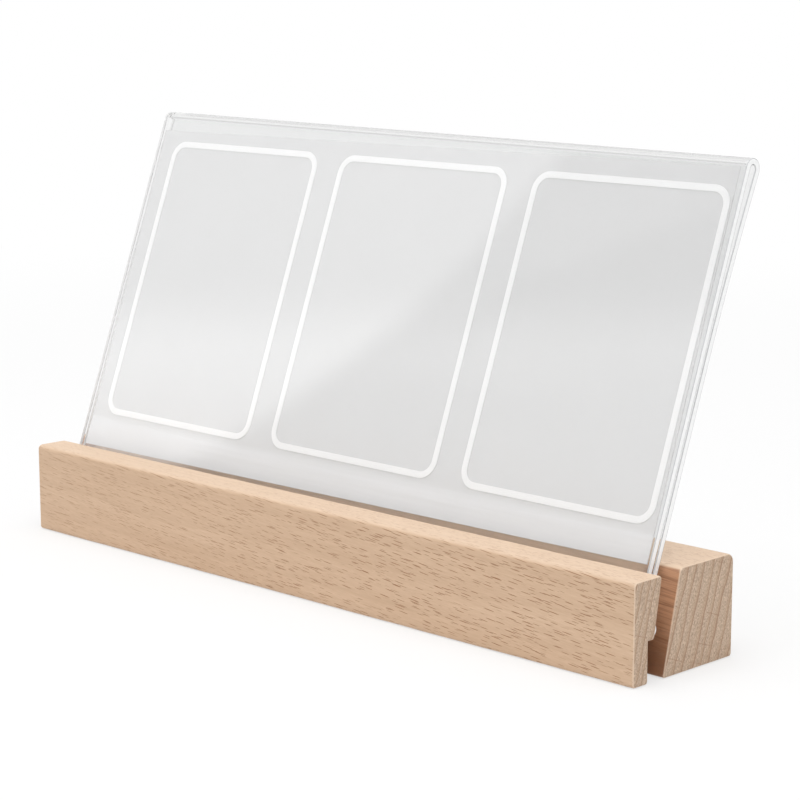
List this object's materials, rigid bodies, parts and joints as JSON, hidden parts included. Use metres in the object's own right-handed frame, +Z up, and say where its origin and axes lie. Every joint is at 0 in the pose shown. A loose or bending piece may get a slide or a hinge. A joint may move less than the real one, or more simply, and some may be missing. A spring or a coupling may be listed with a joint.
{
  "type": "light-up photo frame",
  "caption": "Clear folded acrylic holder for small photo cards, leaning in a slot between beech rails and lit along its foot, with a push switch and a power inlet at the back.",
  "frame": {"origin": "middle of the base's footprint, on the underside that stands on the table", "axes": "+X along the rails to the viewer's right, +Y towards the back, +Z up"},
  "size_m": [0.1704, 0.0398, 0.0914],
  "materials": {
    "beech": "sanded, pale warm beech with fine short flecks",
    "acrylic": "clear, polished, bright cut edges",
    "white_ink": "white printed ink",
    "milky_film": "translucent milky diffuser film",
    "strip": "white flexible circuit",
    "led": "light chip with a yellow phosphor face",
    "red_lead": "red insulated lead",
    "black_lead": "black insulated lead",
    "board": "green circuit board",
    "black_plastic": "black moulded plastic",
    "white_plastic": "white moulded plastic",
    "steel": "plain steel"
  },
  "bodies": {
    "base": {"front_rail": "beech", "rear_rail": "beech", "slot_batten": "beech", "led_strip_board": "strip", "led_01": "led", "led_02": "led", "led_03": "led", "led_04": "led", "led_05": "led", "led_06": "led", "led_07": "led", "led_08": "led", "led_09": "led", "led_10": "led", "led_11": "led", "led_12": "led", "light_rod": "acrylic", "lead_red": "red_lead", "lead_black": "black_lead", "control_board": "board", "driver_chip": "black_plastic", "usb_c_shell": "steel", "usb_c_tongue": "black_plastic", "switch_body": "black_plastic", "board_screw_left": "steel", "board_screw_right": "steel", "pocket_cover": "black_plastic", "cover_screw_left": "steel", "cover_screw_right": "steel"},
    "holder": {"acrylic_holder": "acrylic", "window_line_left": "white_ink", "window_line_centre": "white_ink", "window_line_right": "white_ink"},
    "insert": {"diffuser_sheet": "milky_film"},
    "button": {"push_button": "white_plastic"}
  },
  "joints": [
    {"name": "holder_lift", "type": "slide", "parent": "base", "child": "holder", "axis": [0, 0.3486, 0.9373], "range_m": [0, 0.03]},
    {"name": "insert_slide", "type": "slide", "parent": "holder", "child": "insert", "axis": [1, 0, 0], "range_m": [-0.165, 0.165]},
    {"name": "button_press", "type": "slide", "parent": "base", "child": "button", "axis": [0, -1, 0], "range_m": [0, 0.0007], "stiffness_N_per_m": 2000}
  ]
}
